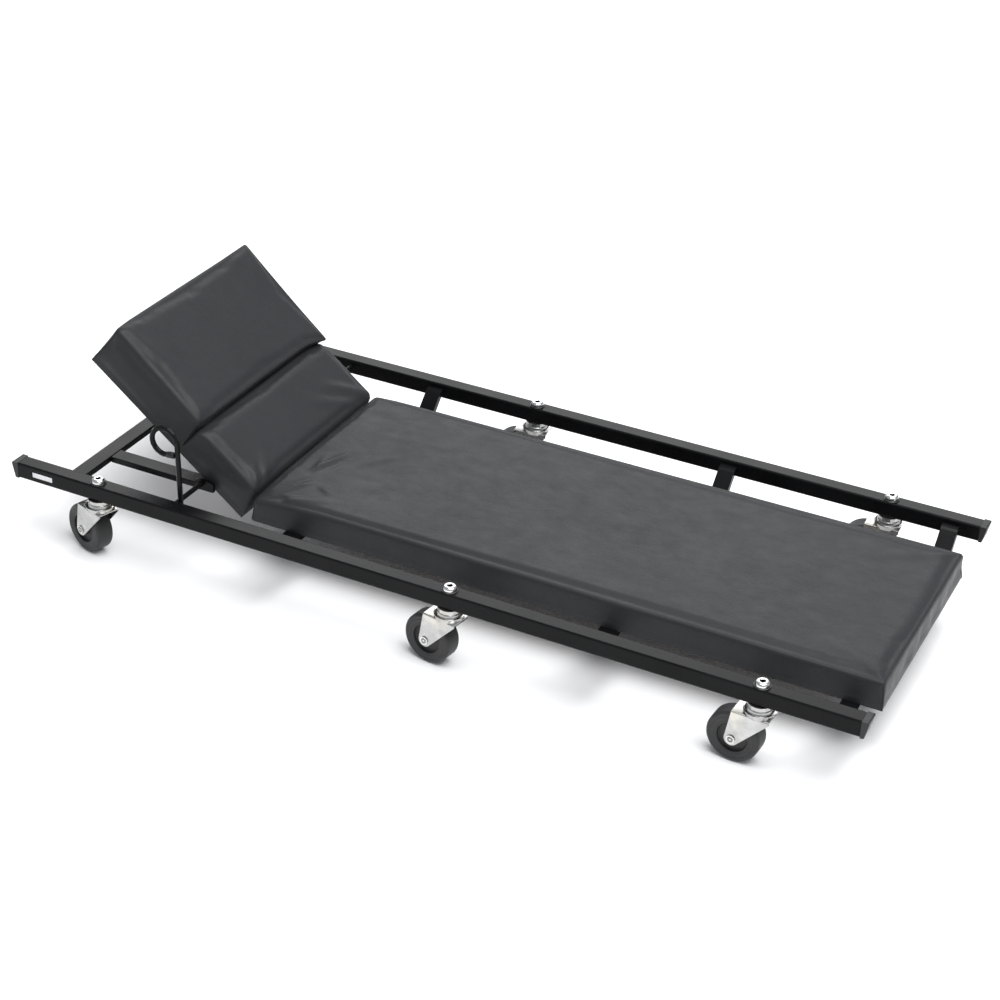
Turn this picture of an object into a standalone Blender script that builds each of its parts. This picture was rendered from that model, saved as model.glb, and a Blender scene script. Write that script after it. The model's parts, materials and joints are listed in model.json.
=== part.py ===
"""Mechanics creeper: a padded bed slung between two square-tube rails on six
swivel casters, with a padded headrest that tilts on a cross rod with a hand lever.

World frame: +X from the head end to the foot end, +Y across, +Z up.  The origin
is on the floor, under the middle of the frame.  "Near" is the -Y side.
All sizes are in metres.
"""
import math

import bmesh
import bpy
from mathutils import Vector

# ---------------------------------------------------------------- driving sizes
GAP = 0.0003                # between two pieces that touch or are welded
RUNNING_FIT = 0.0004        # radial clearance between a shaft and its hole

# Frame
FRAME_LENGTH = 1.016        # over the end caps
FRAME_WIDTH = 0.428         # over the two rails
TUBE = 0.019                # side of the square rail tube
TUBE_WALL = 0.0015
TUBE_CORNER = 0.002
CAP_LENGTH = 0.0085         # part of an end cap that shows past the tube
CAP_SLANT = 0.004           # how much shorter the cap is at the bottom
CAP_PROUD = 0.0003          # how far a cap stands out from the tube's faces
CAP_PLUG = 0.012            # part of an end cap inside the tube
BAR_WIDTH = 0.0195          # flat bars welded between the rails
BAR_THICKNESS = 0.0075
BAR_BEND = 0.008            # radius of a bend, at the middle of the bar
BAR_EDGE = 0.0008
HEAD_BAR_INSET = 0.068      # end of the frame to the middle of the head cross bar
BED_DROP = 0.0360           # rail top down to the top of a dropped bar
DROP_BAR_INSET = 0.040      # end of the frame to the middle of the foot drop bar
DROP_BAR_PITCH = (0.385, 0.265)         # head to middle, middle to foot

# Casters
WHEEL_DIAMETER = 0.058
WHEEL_WIDTH = 0.022
WHEEL_SHOULDER = 0.0035
WHEEL_HEADROOM = 0.0030     # top of the wheel to the fork
WHEEL_RECESS_RADIUS = 0.0170
WHEEL_RECESS_DEPTH = 0.004
HUB_RADIUS = 0.0075
CASTER_TRAIL = 0.022        # swivel axis to wheel axle
CASTER_INSET = 0.113        # end of the frame to a corner caster
CASTER_STAGGER = 0.049      # the middle casters: near one toward the foot, far one the head
YAWS = (162.0, 171.0, 177.0)    # trail directions at rest, head to foot
SPACER_RADIUS = 0.0130
SPACER_HEIGHT = 0.0040
CUP_RADIUS = 0.0142
CUP_HEIGHT = 0.0080
CROWN_RADIUS = 0.0168       # rim of the fork's dished top plate
CROWN_FOOT_RADIUS = 0.0150  # at the underside of the top plate
CROWN_LIP = 0.0045          # height of the rim above the plate
FORK_SHEET = 0.0016
FORK_SIDE_CLEARANCE = 0.0010
FORK_FRONT = 0.0155         # from the swivel axis to the front of a leg
FORK_REAR = 0.0245
FORK_FRONT_HEIGHT = 0.0020  # upright part of a leg's front edge, below the web
FORK_TIP_RADIUS = 0.0075
AXLE_RADIUS = 0.0030
AXLE_HEAD_RADIUS = 0.0048
AXLE_HEAD_HEIGHT = 0.0012
BOLT_RADIUS = 0.0040
BOLT_HEAD_RADIUS = 0.0070
BOLT_HEAD_HEIGHT = 0.0055
BOLT_RIVET_RADIUS = 0.0065
BOLT_RIVET_HEIGHT = 0.0025
HEX_SOCKET = 0.005          # across flats
HEX_DEPTH = 0.003

# Bed
BED_FOOT_INSET = 0.0075     # end of the frame to the foot of the bed
BED_SIDE_GAP = 0.055        # rail to the side of the bed
BED_NECK_GAP = 0.067        # pivot axis to the head end of the bed, at least
NECK_CLEARANCE = 0.001      # raised headrest to a bed that is thick enough to meet it
BED_THICKNESS = 0.0342
BED_HEAD_RADIUS = 0.0130    # the rounded top edge that faces the headrest
BED_RADIUS = 0.006
BOARD_THICKNESS = 0.009
COVER_WALL = 0.0015

# Headrest, in its own flat frame: u toward the head from the pivot axis,
# w up from the pivot axis
PIVOT_INSET = 0.205         # end of the frame to the pivot axis
TILT = math.radians(37.8)   # raised position, which is the rest position
HEADREST_SIDE_STEP = 0.007  # how much narrower than the bed on each side
HEADREST_FOOT_U = -0.052
HEADREST_CREASE_U = 0.045   # between the neck roll and the head pad
HEADREST_HEAD_U = 0.186
NECK_THICKNESS = 0.047
HEAD_FOOT_THICKNESS = 0.054 # of the head pad at the crease
HEAD_THICKNESS = 0.062      # of the head pad at its head end
HEADREST_RADIUS = 0.008
CREASE_TOP_WIDTH = 0.004
CREASE_WIDTH = 0.002
CREASE_FLOOR = 0.006        # above the headrest board

# Bars and lugs under the headrest
INNER_BAR_REACH = 0.008     # pivot axis to the foot-side end of an inner bar
LUG_SIDE_GAP = 0.0015       # side of the headrest to a pivot lug
LUG_THICKNESS = 0.004
LUG_HEAD_REACH = 0.008      # from the pivot axis
LUG_FOOT_REACH = 0.016
LUG_ABOVE = 0.0047          # above and below the pivot axis
LUG_BELOW = 0.0080

# Hinge rod, and the hand lever welded to it
WIRE_RADIUS = 0.003
ROD_END = 0.004             # how far the rod reaches past a rail's inner face
LEVER_INSET = 0.008         # rail's inner face to the lever
LEVER_OFFSET = 0.0056       # lever leg toward the foot from the pivot axis
WELD_RADIUS = 0.0048
LOOP_CENTRE = (-0.0115, 0.0747)     # from the pivot axis: toward the foot, up
LOOP_RADIUS = 0.0163
LOOP_END = 262              # degrees, where the loop's arc ends under its centre
LOOP_TIP = (0.0135, 0.0018) # straight end of the loop
CLIP_Y = 0.080
CLIP_WIDTH = 0.012
CLIP_SHEET = 0.0012
CLIP_REACH = 0.016

# ---------------------------------------------------------------- derived sizes
FRAME_END = FRAME_LENGTH / 2
TUBE_END = FRAME_END - CAP_LENGTH
AXLE_Z = WHEEL_DIAMETER / 2
CROWN_BOTTOM = WHEEL_DIAMETER + WHEEL_HEADROOM
CROWN_TOP = CROWN_BOTTOM + FORK_SHEET
CUP_BOTTOM = CROWN_TOP + GAP
CUP_TOP = CUP_BOTTOM + CUP_HEIGHT
SPACER_BOTTOM = CUP_TOP + GAP
SPACER_TOP = SPACER_BOTTOM + SPACER_HEIGHT
RAIL_BOTTOM = SPACER_TOP + GAP
RAIL_TOP = RAIL_BOTTOM + TUBE
RAIL_Y = (FRAME_WIDTH - TUBE) / 2
RAIL_INNER_Y = FRAME_WIDTH / 2 - TUBE
BAR_TOP = RAIL_BOTTOM + BAR_THICKNESS           # bars flush with the tube's bottom
HEAD_BAR_X = HEAD_BAR_INSET - FRAME_END
FOOT_DROP_X = FRAME_END - DROP_BAR_INSET
DROP_TOP = RAIL_TOP - BED_DROP
CASTER_X = FRAME_END - CASTER_INSET
LEG_INNER = WHEEL_WIDTH / 2 + FORK_SIDE_CLEARANCE
LEG_OUTER = LEG_INNER + FORK_SHEET
PIVOT_X = PIVOT_INSET - FRAME_END
PIVOT_Z = BAR_TOP + GAP + WIRE_RADIUS
BED_BOTTOM = DROP_TOP + GAP
BED_TOP = BED_BOTTOM + BED_THICKNESS
BED_FOOT_X = FRAME_END - BED_FOOT_INSET
BED_WIDTH = 2 * (RAIL_INNER_Y - BED_SIDE_GAP)
BOARD_MARGIN = COVER_WALL + GAP
HEADREST_WIDTH = BED_WIDTH - 2 * HEADREST_SIDE_STEP
BOARD_W = WIRE_RADIUS + GAP                     # underside of the headrest board
NECK_TOP_W = BOARD_W + NECK_THICKNESS
# the top corner of the raised neck roll leans over the head end of the bed
NECK_REACH = NECK_TOP_W * math.sin(TILT) - HEADREST_FOOT_U * math.cos(TILT)
NECK_CORNER_Z = PIVOT_Z + NECK_TOP_W * math.cos(TILT) + HEADREST_FOOT_U * math.sin(TILT)
if BED_TOP < NECK_CORNER_Z:
    BED_HEAD_X = PIVOT_X + BED_NECK_GAP
else:
    BED_HEAD_X = PIVOT_X + max(BED_NECK_GAP, NECK_REACH + NECK_CLEARANCE)
LUG_INNER_Y = HEADREST_WIDTH / 2 + LUG_SIDE_GAP
INNER_BAR_OUTER_Y = LUG_INNER_Y - GAP
LEVER_Y = LEVER_INSET - RAIL_INNER_Y


# ---------------------------------------------------------------- helpers
def clear_scene():
    for obj in list(bpy.data.objects):
        bpy.data.objects.remove(obj)


def material(name, colour, roughness, metallic=0.0):
    mat = bpy.data.materials.new(name)
    mat.use_nodes = True
    shader = mat.node_tree.nodes["Principled BSDF"]
    shader.inputs["Base Color"].default_value = (*colour, 1.0)
    shader.inputs["Roughness"].default_value = roughness
    shader.inputs["Metallic"].default_value = metallic
    return mat


def add_object(name, bm, mat=None, parent=None, location=(0, 0, 0), smooth_angle=35):
    """Make an object from a bmesh, with outward faces and smooth round sides."""
    bmesh.ops.recalc_face_normals(bm, faces=bm.faces)
    mesh = bpy.data.meshes.new(name)
    bm.to_mesh(mesh)
    bm.free()
    mesh.shade_smooth()
    mesh.set_sharp_from_angle(angle=math.radians(smooth_angle))
    obj = bpy.data.objects.new(name, mesh)
    bpy.context.scene.collection.objects.link(obj)
    if mat:
        mesh.materials.append(mat)
    obj.parent = parent
    obj.location = location
    return obj


def add_empty(name, location, rotation=(0, 0, 0)):
    empty = bpy.data.objects.new(name, None)
    bpy.context.scene.collection.objects.link(empty)
    empty.location = location
    empty.rotation_euler = rotation
    return empty


def combine(obj, cutter, operation="DIFFERENCE"):
    """Cut or join another object into obj, and keep the other as a guide."""
    cutter.hide_render = True
    cutter.display_type = "WIRE"
    modifier = obj.modifiers.new(cutter.name, "BOOLEAN")
    modifier.operation = operation
    modifier.solver = "EXACT"
    modifier.object = cutter


def arc(centre, radius, start, end, steps):
    """Points on an arc in a plane, angles in degrees, both ends included."""
    points = []
    for i in range(steps + 1):
        angle = math.radians(start + (end - start) * i / steps)
        points.append((centre[0] + radius * math.cos(angle), centre[1] + radius * math.sin(angle)))
    return points


def rounded(corners, radii, steps=4):
    """Round each corner of a convex or concave outline by its own radius."""
    outline = []
    count = len(corners)
    for i, radius in enumerate(radii):
        corner = Vector(corners[i])
        if radius == 0:
            outline.append(tuple(corner))
            continue
        before = (Vector(corners[i - 1]) - corner).normalized()
        after = (Vector(corners[(i + 1) % count]) - corner).normalized()
        half = before.angle(after) / 2
        centre = corner + (before + after).normalized() * radius / math.sin(half)
        first = (corner + before * radius / math.tan(half) - centre).normalized()
        last = (corner + after * radius / math.tan(half) - centre).normalized()
        for step in range(steps + 1):
            outline.append(tuple(centre + first.slerp(last, step / steps) * radius))
    return outline


def prism(outline, low, high, plane="XZ"):
    """Extrude a flat outline: plane XZ along Y, YZ along X, XY along Z."""
    order = {"XZ": lambda a, b, c: (a, c, b), "YZ": lambda a, b, c: (c, a, b),
             "XY": lambda a, b, c: (a, b, c)}[plane]
    bm = bmesh.new()
    bottom = [bm.verts.new(order(a, b, low)) for a, b in outline]
    top = [bm.verts.new(order(a, b, high)) for a, b in outline]
    bm.faces.new(bottom)
    bm.faces.new(top)
    for i in range(len(outline)):
        j = (i + 1) % len(outline)
        bm.faces.new((bottom[i], bottom[j], top[j], top[i]))
    return bm


def block(low, high):
    outline = [(low[0], low[1]), (high[0], low[1]), (high[0], high[1]), (low[0], high[1])]
    return prism(outline, low[2], high[2], "XY")


def lathe(profile, steps, axis="Z"):
    """Turn a profile of (radius, height) points; it closes on itself or on the axis."""
    bm = bmesh.new()
    rings = []
    for radius, height in profile:
        count = 1 if radius == 0 else steps
        ring = []
        for i in range(count):
            angle = 2 * math.pi * i / steps
            a, b = radius * math.cos(angle), radius * math.sin(angle)
            ring.append(bm.verts.new((a, b, height) if axis == "Z" else (a, height, b)))
        rings.append(ring)
    on_axis = profile[0][0] == 0 and profile[-1][0] == 0
    pairs = list(zip(rings, rings[1:])) if on_axis else list(zip(rings, rings[1:] + rings[:1]))
    for ring_a, ring_b in pairs:
        for i in range(steps):
            j = (i + 1) % steps
            corners = [ring_a[i % len(ring_a)], ring_a[j % len(ring_a)],
                       ring_b[j % len(ring_b)], ring_b[i % len(ring_b)]]
            bm.faces.new(list(dict.fromkeys(corners)))
    return bm


def cylinder(radius, low, high, steps=24, axis="Z", centre=(0, 0, 0)):
    bm = lathe([(0, low), (radius, low), (radius, high), (0, high)], steps, axis)
    bmesh.ops.translate(bm, verts=bm.verts, vec=centre)
    return bm


def bend_path(corners, radius, steps=4):
    """A path through 3-D corners with every inner corner turned into an arc."""
    points = [Vector(corners[0])]
    for before, corner, after in zip(corners, corners[1:], corners[2:]):
        corner = Vector(corner)
        to_before = (Vector(before) - corner).normalized()
        to_after = (Vector(after) - corner).normalized()
        half = to_before.angle(to_after) / 2
        centre = corner + (to_before + to_after).normalized() * radius / math.sin(half)
        first = (corner + to_before * radius / math.tan(half) - centre).normalized()
        last = (corner + to_after * radius / math.tan(half) - centre).normalized()
        for step in range(steps + 1):
            points.append(centre + first.slerp(last, step / steps) * radius)
    points.append(Vector(corners[-1]))
    return points


def tube(path, radius, sides):
    """A round wire along a path that lies in a plane of constant Y."""
    bm = bmesh.new()
    rings = []
    for i, point in enumerate(path):
        ahead = path[min(i + 1, len(path) - 1)] - path[max(i - 1, 0)]
        across = Vector((-ahead.z, 0, ahead.x)).normalized()
        ring = []
        for k in range(sides):
            angle = 2 * math.pi * k / sides
            offset = across * math.cos(angle) + Vector((0, 1, 0)) * math.sin(angle)
            ring.append(bm.verts.new(point + offset * radius))
        rings.append(ring)
    for ring_a, ring_b in zip(rings, rings[1:]):
        for k in range(sides):
            j = (k + 1) % sides
            bm.faces.new((ring_a[k], ring_a[j], ring_b[j], ring_b[k]))
    bm.faces.new(rings[0])
    bm.faces.new(rings[-1])
    return bm


# ---------------------------------------------------------------- materials
def make_materials():
    return {
        "black_steel": material("black_steel", (0.020, 0.021, 0.023), 0.30),
        "wire": material("wire", (0.012, 0.012, 0.013), 0.35),
        "zinc": material("zinc", (0.72, 0.71, 0.68), 0.28, 1.0),
        "bright_zinc": material("bright_zinc", (0.85, 0.85, 0.85), 0.15, 1.0),
        "black_plastic": material("black_plastic", (0.018, 0.018, 0.018), 0.50),
        "wheel": material("wheel", (0.030, 0.030, 0.031), 0.55),
        "vinyl": material("vinyl", (0.055, 0.057, 0.061), 0.50),
        "foam": material("foam", (0.60, 0.55, 0.40), 0.95),
        "board": material("board", (0.35, 0.24, 0.14), 0.80),
    }


# ---------------------------------------------------------------- frame
def square(side, radius, centre):
    half = side / 2
    corners = [(centre[0] + a * half, centre[1] + b * half)
               for a, b in ((-1, -1), (1, -1), (1, 1), (-1, 1))]
    return rounded(corners, [radius] * 4, 3)


def make_rail(name, side, caster_xs, mats):
    """A square tube along X, bored for each caster's bolt and for the end of the hinge rod."""
    centre = (side * RAIL_Y, RAIL_BOTTOM + TUBE / 2)
    rail = add_object(name, prism(square(TUBE, TUBE_CORNER, centre), -TUBE_END, TUBE_END, "YZ"),
                      mats["black_steel"])
    hollow = square(TUBE - 2 * TUBE_WALL, TUBE_CORNER / 2, centre)
    combine(rail, add_object(name + "_bore", prism(hollow, -FRAME_END, FRAME_END, "YZ")))
    for x in caster_xs:
        hole = cylinder(BOLT_RADIUS + GAP, RAIL_BOTTOM - 0.01, RAIL_TOP + 0.01, 16,
                        centre=(x, centre[0], 0))
        combine(rail, add_object(name + "_hole", hole))
    ends = sorted((side * (RAIL_INNER_Y - 0.005), side * (RAIL_INNER_Y + TUBE / 2)))
    rod_hole = cylinder(WIRE_RADIUS + RUNNING_FIT, *ends, 16, "Y", (PIVOT_X, 0, PIVOT_Z))
    combine(rail, add_object(name + "_rod_hole", rod_hole))


def make_end_cap(name, end, side, mats):
    """A slanted cap on the tube's end with a plug inside the tube."""
    half = TUBE / 2 + CAP_PROUD
    inner_end = TUBE_END + GAP
    low, high = RAIL_BOTTOM - CAP_PROUD, RAIL_TOP + CAP_PROUD
    corners = [(end * inner_end, low), (end * (FRAME_END - CAP_SLANT), low),
               (end * FRAME_END, high), (end * inner_end, high)]
    outline = rounded(corners, [0, 0.0015, 0.0015, 0], 3)
    cap = add_object(name, prism(outline, side * RAIL_Y - half, side * RAIL_Y + half),
                     mats["black_plastic"])
    plug_side = TUBE - 2 * TUBE_WALL - 2 * GAP
    plug = square(plug_side, TUBE_CORNER / 2, (side * RAIL_Y, RAIL_BOTTOM + TUBE / 2))
    ends = sorted((end * (TUBE_END - CAP_PLUG), end * (inner_end + 0.002)))
    combine(cap, add_object(name + "_plug", prism(plug, *ends, "YZ")), "UNION")


def bevel_bar(bar):
    modifier = bar.modifiers.new("edges", "BEVEL")
    modifier.width = BAR_EDGE
    modifier.segments = 1
    modifier.limit_method = "ANGLE"
    modifier.angle_limit = math.radians(60)


def make_flat_bar(name, low, high, mats):
    bar = add_object(name, block((low[0], low[1], RAIL_BOTTOM), (high[0], high[1], BAR_TOP)),
                     mats["black_steel"])
    bevel_bar(bar)


def make_head_bars(mats):
    """The head cross bar, and two bars from it toward the foot that end past the hinge rod."""
    end = RAIL_INNER_Y - GAP
    half = BAR_WIDTH / 2
    make_flat_bar("head_cross_bar", (HEAD_BAR_X - half, -end), (HEAD_BAR_X + half, end), mats)
    head_x, foot_x = HEAD_BAR_X + half + GAP, PIVOT_X + INNER_BAR_REACH
    outer, inner = INNER_BAR_OUTER_Y, INNER_BAR_OUTER_Y - BAR_WIDTH
    make_flat_bar("near_inner_bar", (head_x, -outer), (foot_x, -inner), mats)
    make_flat_bar("far_inner_bar", (head_x, inner), (foot_x, outer), mats)


def make_lug(name, side, mats):
    """A plate on the outer side of an inner bar that holds the hinge rod."""
    corners = [(PIVOT_X - LUG_HEAD_REACH, PIVOT_Z - LUG_BELOW),
               (PIVOT_X + LUG_FOOT_REACH, PIVOT_Z - LUG_BELOW),
               (PIVOT_X + LUG_FOOT_REACH, PIVOT_Z + LUG_ABOVE / 2),
               (PIVOT_X + LUG_FOOT_REACH / 2, PIVOT_Z + LUG_ABOVE),
               (PIVOT_X - LUG_HEAD_REACH, PIVOT_Z + LUG_ABOVE)]
    ends = sorted((side * LUG_INNER_Y, side * (LUG_INNER_Y + LUG_THICKNESS)))
    outline = rounded(corners, [0.001, 0.001, 0.002, 0.003, 0.004])
    lug = add_object(name, prism(outline, *ends), mats["black_steel"])
    hole = cylinder(WIRE_RADIUS + RUNNING_FIT, ends[0] - 0.01, ends[1] + 0.01, 16, "Y",
                    (PIVOT_X, 0, PIVOT_Z))
    combine(lug, add_object(name + "_hole", hole))


def make_drop_bar(name, x, mats):
    """A flat bar that drops from both rails to carry the bed below them."""
    end = RAIL_INNER_Y - GAP
    high = RAIL_BOTTOM + TUBE / 2
    low = DROP_TOP - BAR_THICKNESS / 2
    top_y = end - 0.004
    foot_y = top_y - (high - low)
    corners = [(0, -end, high), (0, -top_y, high), (0, -foot_y, low),
               (0, foot_y, low), (0, top_y, high), (0, end, high)]
    path = bend_path(corners, BAR_BEND, 3)
    upper, lower = [], []
    for i, point in enumerate(path):
        ahead = path[min(i + 1, len(path) - 1)] - path[max(i - 1, 0)]
        side = Vector((0, -ahead.z, ahead.y)).normalized() * BAR_THICKNESS / 2
        if i in (0, len(path) - 1):
            side = Vector((0, 0, BAR_THICKNESS / 2))
        upper.append(((point + side).y, (point + side).z))
        lower.append(((point - side).y, (point - side).z))
    bar = add_object(name, prism(upper + lower[::-1], x - BAR_WIDTH / 2, x + BAR_WIDTH / 2, "YZ"),
                     mats["black_steel"])
    bevel_bar(bar)


# ---------------------------------------------------------------- casters
def bolt_profile():
    """Domed head over the rail, shank through rail and cup, riveted under the crown."""
    head_low = RAIL_TOP + GAP
    rivet_high = CROWN_BOTTOM - GAP
    rivet_low = rivet_high - BOLT_RIVET_HEIGHT
    rim = head_low + BOLT_HEAD_HEIGHT * 0.4
    profile = [(0, rivet_low), (BOLT_RIVET_RADIUS * 0.7, rivet_low),
               (BOLT_RIVET_RADIUS, rivet_low + BOLT_RIVET_HEIGHT * 0.5),
               (BOLT_RIVET_RADIUS, rivet_high), (BOLT_RADIUS, rivet_high),
               (BOLT_RADIUS, head_low), (BOLT_HEAD_RADIUS, head_low), (BOLT_HEAD_RADIUS, rim)]
    for step in range(1, 3):
        angle = math.radians(90 * step / 3)
        profile.append((BOLT_HEAD_RADIUS * (0.45 + 0.55 * math.cos(angle)),
                        rim + (BOLT_HEAD_HEIGHT * 0.6) * math.sin(angle)))
    profile.append((BOLT_HEAD_RADIUS * 0.45, head_low + BOLT_HEAD_HEIGHT))
    profile.append((0, head_low + BOLT_HEAD_HEIGHT))
    return profile


def cup_profile():
    """Pressed upper race: a shallow dome over a rolled edge, with the bolt hole."""
    hole = BOLT_RADIUS + GAP
    return [(hole, CUP_BOTTOM), (CUP_RADIUS * 0.86, CUP_BOTTOM),
            (CUP_RADIUS * 0.97, CUP_BOTTOM + CUP_HEIGHT * 0.15),
            (CUP_RADIUS, CUP_BOTTOM + CUP_HEIGHT * 0.40),
            (CUP_RADIUS * 0.97, CUP_BOTTOM + CUP_HEIGHT * 0.65),
            (CUP_RADIUS * 0.88, CUP_BOTTOM + CUP_HEIGHT * 0.88),
            (CUP_RADIUS * 0.78, CUP_TOP), (hole, CUP_TOP)]


def crown_profile():
    """Dished top plate that holds the lower balls around the foot of the cup."""
    hole = BOLT_RADIUS + RUNNING_FIT
    rim = CROWN_TOP + CROWN_LIP
    inner_foot = CROWN_FOOT_RADIUS - FORK_SHEET / 2
    return [(hole, CROWN_BOTTOM), (CROWN_FOOT_RADIUS, CROWN_BOTTOM), (CROWN_RADIUS, rim - 0.0005),
            (CROWN_RADIUS, rim), (CROWN_RADIUS - FORK_SHEET, rim), (inner_foot, CROWN_TOP),
            (hole, CROWN_TOP)]


def leg_outline():
    """Side view of the fork: wide at the web, narrow and round at the axle."""
    tip = Vector((CASTER_TRAIL, AXLE_Z))
    front = Vector((-FORK_FRONT, CROWN_BOTTOM - FORK_FRONT_HEIGHT))
    rear = Vector((FORK_REAR, CROWN_BOTTOM))
    # both straight edges are tangents from the corners above to the round tip
    angles = []
    for point, turn in ((front, 1), (rear, -1)):
        away = point - tip
        spread = math.degrees(math.acos(FORK_TIP_RADIUS / away.length))
        angles.append(math.degrees(math.atan2(away.y, away.x)) + turn * spread)
    start, end = angles
    if end < start:
        end += 360
    outline = [(-FORK_FRONT, CROWN_TOP), tuple(front)]
    outline += arc(tip, FORK_TIP_RADIUS, start, end, 9)
    outline += [tuple(rear), (FORK_REAR, CROWN_TOP)]
    return outline


def make_fork(name, swivel, mats):
    """Round dished crown, and a web with a leg on each side of the wheel."""
    fork = add_object(name, lathe(crown_profile(), 20), mats["zinc"], swivel)
    sheet = prism(leg_outline(), -LEG_OUTER, LEG_OUTER)
    shoulders = [e for e in sheet.edges
                 if all(v.co.z > CROWN_TOP - GAP for v in e.verts)
                 and abs(e.verts[0].co.y - e.verts[1].co.y) < GAP]
    bmesh.ops.bevel(sheet, geom=shoulders, offset=FORK_SHEET * 0.8, segments=2, profile=0.5,
                    affect="EDGES")
    legs = add_object(name + "_legs", sheet, None, swivel)
    between = block((-FORK_FRONT - 0.01, -LEG_INNER, -0.01),
                    (FORK_REAR + 0.01, LEG_INNER, CROWN_BOTTOM))
    combine(legs, add_object(name + "_between", between, None, swivel))
    combine(fork, legs, "UNION")
    bore = cylinder(BOLT_RADIUS + RUNNING_FIT, CROWN_BOTTOM - 0.01, CROWN_TOP + 0.01, 16)
    combine(fork, add_object(name + "_bore", bore, None, swivel))
    axle_hole = cylinder(AXLE_RADIUS + GAP, -LEG_OUTER - 0.01, LEG_OUTER + 0.01, 12, "Y",
                         (CASTER_TRAIL, 0, AXLE_Z))
    combine(fork, add_object(name + "_axle_hole", axle_hole, None, swivel))


def wheel_profile():
    """Half width along the axle: tread, rounded shoulders, recess and hub."""
    half, radius = WHEEL_WIDTH / 2, WHEEL_DIAMETER / 2
    bore = AXLE_RADIUS + RUNNING_FIT
    inner = half - WHEEL_RECESS_DEPTH
    right = [(bore, half), (HUB_RADIUS, half), (HUB_RADIUS + 0.0005, inner),
             (WHEEL_RECESS_RADIUS - 0.001, inner), (WHEEL_RECESS_RADIUS, half)]
    for a, b in arc((radius - WHEEL_SHOULDER, half - WHEEL_SHOULDER), WHEEL_SHOULDER, 90, 0, 2):
        right.append((a, b))
    return right + [(r, -h) for r, h in reversed(right)]


def make_caster(number, x, y, yaw, mats):
    """One stem caster: bolt, spacer and cup stay with the frame; fork, axle and wheel swivel."""
    here = (x, y, 0)
    bolt = add_object(f"caster_bolt_{number}", lathe(bolt_profile(), 12), mats["bright_zinc"],
                      location=here)
    socket_radius = HEX_SOCKET / 2 / math.cos(math.pi / 6)
    top = RAIL_TOP + GAP + BOLT_HEAD_HEIGHT
    combine(bolt, add_object(f"socket_{number}", cylinder(socket_radius, top - HEX_DEPTH, top + 0.01, 6),
                             location=here))
    hole = BOLT_RADIUS + GAP
    ring = [(hole, SPACER_BOTTOM), (SPACER_RADIUS, SPACER_BOTTOM), (SPACER_RADIUS, SPACER_TOP),
            (hole, SPACER_TOP)]
    add_object(f"caster_spacer_{number}", lathe(ring, 16), mats["black_plastic"], location=here)
    add_object(f"bearing_cup_{number}", lathe(cup_profile(), 18), mats["zinc"], location=here)

    swivel = add_empty(f"swivel_{number}", here, (0, 0, math.radians(yaw)))
    make_fork(f"caster_fork_{number}", swivel, mats)
    head = LEG_OUTER + GAP
    axle = [(0, -head - AXLE_HEAD_HEIGHT), (AXLE_HEAD_RADIUS, -head - AXLE_HEAD_HEIGHT),
            (AXLE_HEAD_RADIUS, -head), (AXLE_RADIUS, -head), (AXLE_RADIUS, head),
            (AXLE_HEAD_RADIUS, head), (AXLE_HEAD_RADIUS, head + AXLE_HEAD_HEIGHT),
            (0, head + AXLE_HEAD_HEIGHT)]
    at_axle = (CASTER_TRAIL, 0, AXLE_Z)
    add_object(f"wheel_axle_{number}", lathe(axle, 10, "Y"), mats["bright_zinc"], swivel, at_axle)
    add_object(f"wheel_{number}", lathe(wheel_profile(), 24, "Y"), mats["wheel"], swivel, at_axle)


# ---------------------------------------------------------------- pads
def shell_profile(corners, radii, inset):
    """A side view moved inward by inset; corner radii shrink with it."""
    count = len(corners)
    moved = []
    for i in range(count):
        corner = Vector(corners[i])
        before = (corner - Vector(corners[i - 1])).normalized()
        after = (Vector(corners[(i + 1) % count]) - corner).normalized()
        normal_a, normal_b = Vector((-before.y, before.x)), Vector((-after.y, after.x))
        moved.append(tuple(corner + (normal_a + normal_b) * inset / (1 + normal_a.dot(normal_b))))
    return rounded(moved, [max(r - inset, 0) for r in radii])


def make_pad(prefix, corners, radii, width, mats, parent=None):
    """A hollow cover, open below over its board, with a foam core above the board.

    The first two corners are the bottom ones, and they run toward +X."""
    half = width / 2
    low = corners[0][1]
    cover = add_object(prefix + "_cover", prism(shell_profile(corners, radii, 0), -half, half),
                       mats["vinyl"], parent)
    deeper = [(x, w - 0.02) if w == low else (x, w) for x, w in corners]
    inside = half - COVER_WALL
    cavity = prism(shell_profile(deeper, radii, COVER_WALL), -inside, inside)
    combine(cover, add_object(prefix + "_cavity", cavity, None, parent))
    foam_low = low + BOARD_THICKNESS + GAP - BOARD_MARGIN
    above_board = [(x, foam_low) if w == low else (x, w) for x, w in corners]
    half_core = half - BOARD_MARGIN
    add_object(prefix + "_foam",
               prism(shell_profile(above_board, radii, BOARD_MARGIN), -half_core, half_core),
               mats["foam"], parent)
    board = block((corners[0][0] + BOARD_MARGIN, -half_core, low),
                  (corners[1][0] - BOARD_MARGIN, half_core, low + BOARD_THICKNESS))
    add_object(prefix + "_board", board, mats["board"], parent)


def make_bed(mats):
    corners = [(BED_HEAD_X, BED_BOTTOM), (BED_FOOT_X, BED_BOTTOM), (BED_FOOT_X, BED_TOP),
               (BED_HEAD_X, BED_TOP)]
    make_pad("bed", corners, [0, 0, BED_RADIUS, BED_HEAD_RADIUS], BED_WIDTH, mats)


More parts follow.
